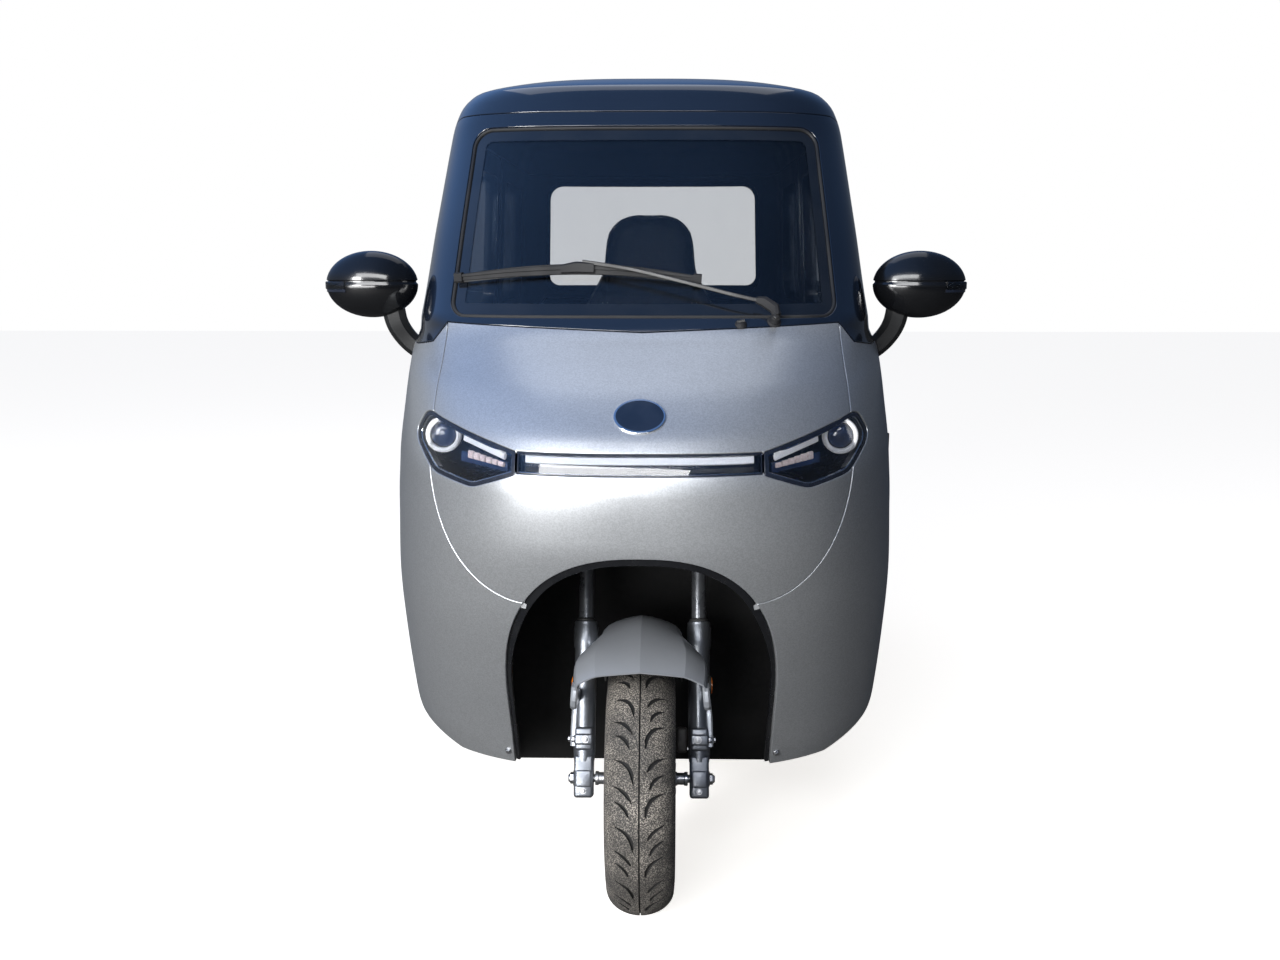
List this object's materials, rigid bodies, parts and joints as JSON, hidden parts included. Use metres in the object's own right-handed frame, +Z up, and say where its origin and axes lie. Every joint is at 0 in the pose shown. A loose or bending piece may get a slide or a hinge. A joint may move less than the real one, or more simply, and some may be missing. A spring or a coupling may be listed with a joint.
{
  "type": "enclosed electric tricycle",
  "caption": "Enclosed electric tricycle: a steered front wheel in an arch under a rounded nose, hinged cabin doors, tail lid and sprung driven rear wheels.",
  "frame": {"origin": "centre of the bounding box at the ground", "axes": "+Z up, nose towards -Y, +X to the left of someone sitting inside"},
  "size_m": [1.242, 2.256, 1.556],
  "materials": {
    "silver_paint": "metallic silver clear coat",
    "black_paint": "deep gloss black",
    "black_plastic": "moulded satin black",
    "grey_plastic": "moulded dark grey",
    "tinted_glass": "tinted glass",
    "lamp_lens": "smoked clear lens",
    "red_lens": "clear red lens",
    "tyre_rubber": "dusty rubber",
    "cast_alloy": "satin cast alloy",
    "bare_steel": "zinc plated",
    "black_steel": "black powder coat",
    "seat_cover": "dark imitation leather"
  },
  "bodies": {
    "body": {"nose_panel": "silver_paint", "nose_plaque": "cast_alloy", "windscreen_frame": "black_paint", "windscreen": "tinted_glass", "wiper": "black_plastic", "light_bar": "lamp_lens", "headlamp_left": "lamp_lens", "headlamp_right": "lamp_lens", "front_side_left": "silver_paint", "front_side_right": "silver_paint", "rear_side_left": "silver_paint", "rear_side_right": "silver_paint", "rear_frame": "black_paint", "rear_window": "tinted_glass", "quarter_glass_left": "tinted_glass", "quarter_glass_right": "tinted_glass", "roof_panel": "black_paint", "tail_panel": "silver_paint", "rear_bumper": "silver_paint", "tail_lamp_left": "red_lens", "tail_lamp_right": "red_lens", "mirror_left": "black_paint", "mirror_right": "black_paint", "wheel_arch_liner": "black_plastic", "dash_panel": "grey_plastic", "floor_pan": "black_plastic", "luggage_deck": "black_plastic", "chassis_frame": "black_steel", "battery_box": "black_plastic", "rear_axle": "black_steel", "rear_spring_left": "bare_steel", "rear_spring_right": "bare_steel", "seat_box": "black_plastic", "seat_cushion": "seat_cover", "seat_back": "seat_cover"},
    "steering": {"fork_crown": "black_steel", "fork_leg_left": "cast_alloy", "fork_leg_right": "cast_alloy", "front_axle": "bare_steel", "front_fender": "silver_paint", "handlebar": "black_plastic", "brake_caliper": "black_steel"},
    "front_wheel": {"front_rim": "cast_alloy", "front_tyre": "tyre_rubber", "brake_disc": "bare_steel"},
    "rear_wheel_left": {"rear_left_rim": "cast_alloy", "rear_left_tyre": "tyre_rubber"},
    "rear_wheel_right": {"rear_right_rim": "cast_alloy", "rear_right_tyre": "tyre_rubber"},
    "door_left": {"door_panel_left": "silver_paint", "door_glass_left": "tinted_glass", "door_handle_left": "black_plastic"},
    "door_right": {"door_panel_right": "silver_paint", "door_glass_right": "tinted_glass", "door_handle_right": "black_plastic"},
    "boot": {"boot_lid": "silver_paint"}
  },
  "joints": [
    {"name": "steering_turn", "type": "hinge", "parent": "body", "child": "steering", "pos_m": [0, -0.85911, 0.22403], "axis": [0, 0.342, 0.9397], "range_deg": [-35, 35]},
    {"name": "front_wheel_spin", "type": "hinge", "parent": "steering", "child": "front_wheel", "pos_m": [0, -0.892, 0.236], "axis": [1, 0, 0], "continuous": true},
    {"name": "rear_wheel_left_spin", "type": "hinge", "parent": "body", "child": "rear_wheel_left", "pos_m": [-0.4, 0.708, 0.236], "axis": [1, 0, 0], "continuous": true},
    {"name": "rear_wheel_right_spin", "type": "hinge", "parent": "body", "child": "rear_wheel_right", "pos_m": [0.4, 0.708, 0.236], "axis": [1, 0, 0], "continuous": true},
    {"name": "door_left_hinge", "type": "hinge", "parent": "body", "child": "door_left", "pos_m": [-0.5005, -0.452, 0.6], "axis": [0, 0, 1], "range_deg": [0, 62]},
    {"name": "door_right_hinge", "type": "hinge", "parent": "body", "child": "door_right", "pos_m": [0.5005, -0.452, 0.6], "axis": [0, 0, -1], "range_deg": [0, 62]},
    {"name": "boot_hinge", "type": "hinge", "parent": "body", "child": "boot", "pos_m": [0, 1.083, 0.976], "axis": [1, 0, 0], "range_deg": [0, 70]}
  ]
}
